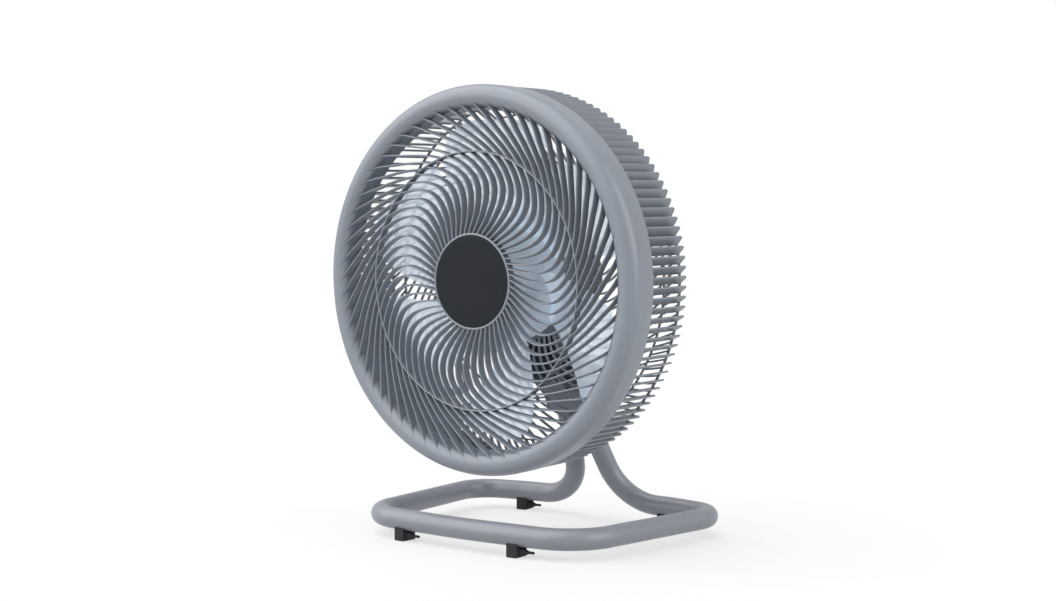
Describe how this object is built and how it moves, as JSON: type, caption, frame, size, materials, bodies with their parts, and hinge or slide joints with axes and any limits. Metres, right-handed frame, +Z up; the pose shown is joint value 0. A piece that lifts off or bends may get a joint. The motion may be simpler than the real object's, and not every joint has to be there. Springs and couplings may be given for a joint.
{
  "type": "floor fan",
  "caption": "Round floor fan: a louvred, caged fan head that tilts on a stand bent from one round tube, with a spinning clear rotor and a rear speed knob.",
  "frame": {"origin": "on the floor, at the middle of the footprint", "axes": "+Z up, -Y towards the front (the side the air leaves), +X to the right seen from the front"},
  "size_m": [0.4, 0.2647, 0.4734],
  "materials": {
    "grille_grey": "satin blue-grey moulded plastic, fine grain",
    "tube_paint": "satin blue-grey powder coat",
    "badge_dark": "charcoal satin plastic",
    "cover_dark": "charcoal matt plastic",
    "bracket_grey": "satin grey plastic",
    "blade_clear": "clear pale blue plastic",
    "foot_rubber": "black matt rubber",
    "zinc_steel": "zinc-plated steel",
    "ground_steel": "ground steel",
    "cast_shield": "die-cast aluminium",
    "lamination": "laminated electrical steel",
    "copper_coil": "varnished copper wire",
    "bush_bronze": "sintered bronze",
    "insert_brass": "turned brass",
    "fibre": "red fibre",
    "knob_dark": "charcoal matt plastic",
    "part_black": "black plastic",
    "part_white": "off-white plastic"
  },
  "bodies": {
    "stand": {"stand_tube": "tube_paint", "front_left_foot": "foot_rubber", "front_right_foot": "foot_rubber", "rear_left_foot": "foot_rubber", "rear_right_foot": "foot_rubber", "stand_bracket": "bracket_grey", "bracket_screws": "zinc_steel", "tilt_bolt": "zinc_steel", "tilt_washers": "zinc_steel"},
    "head": {"front_grille": "grille_grey", "hub_badge": "badge_dark", "rear_grille": "grille_grey", "grille_lock_screw": "zinc_steel", "grille_nut": "bracket_grey", "front_end_shield": "cast_shield", "rear_end_shield": "cast_shield", "stator_core": "lamination", "stator_windings": "copper_coil", "front_bush": "bush_bronze", "rear_bush": "bush_bronze", "motor_bolts": "zinc_steel", "motor_cover": "cover_dark", "cover_screws": "zinc_steel", "run_capacitor": "part_white", "terminal_block": "part_white", "speed_switch": "part_black", "cable_gland": "part_black"},
    "spinner": {"motor_rotor": "lamination", "thrust_washers": "fibre", "motor_shaft": "ground_steel", "drive_pin": "ground_steel", "fan_rotor": "blade_clear", "blade_nut": "bracket_grey"},
    "tilt_clamp": {"tilt_knob": "knob_dark", "knob_insert": "insert_brass"},
    "speed_selector": {"speed_knob": "knob_dark", "switch_spindle": "ground_steel"}
  },
  "joints": [
    {"name": "head_tilt", "type": "hinge", "parent": "stand", "child": "head", "pos_m": [0, 0.02427, 0.17279], "axis": [1, 0, 0], "range_deg": [-45, 10]},
    {"name": "fan_spin", "type": "hinge", "parent": "head", "child": "spinner", "pos_m": [0, -0.09608, 0.272], "axis": [0, 0.9997, 0.0234], "continuous": true},
    {"name": "tilt_knob_turn", "type": "hinge", "parent": "stand", "child": "tilt_clamp", "pos_m": [0, 0.02427, 0.17279], "axis": [1, 0, 0], "range_deg": [-180, 0]},
    {"name": "speed_knob_turn", "type": "hinge", "parent": "head", "child": "speed_selector", "pos_m": [0, 0.05388, 0.27551], "axis": [0, 0.9997, 0.0234], "range_deg": [0, 135]}
  ]
}
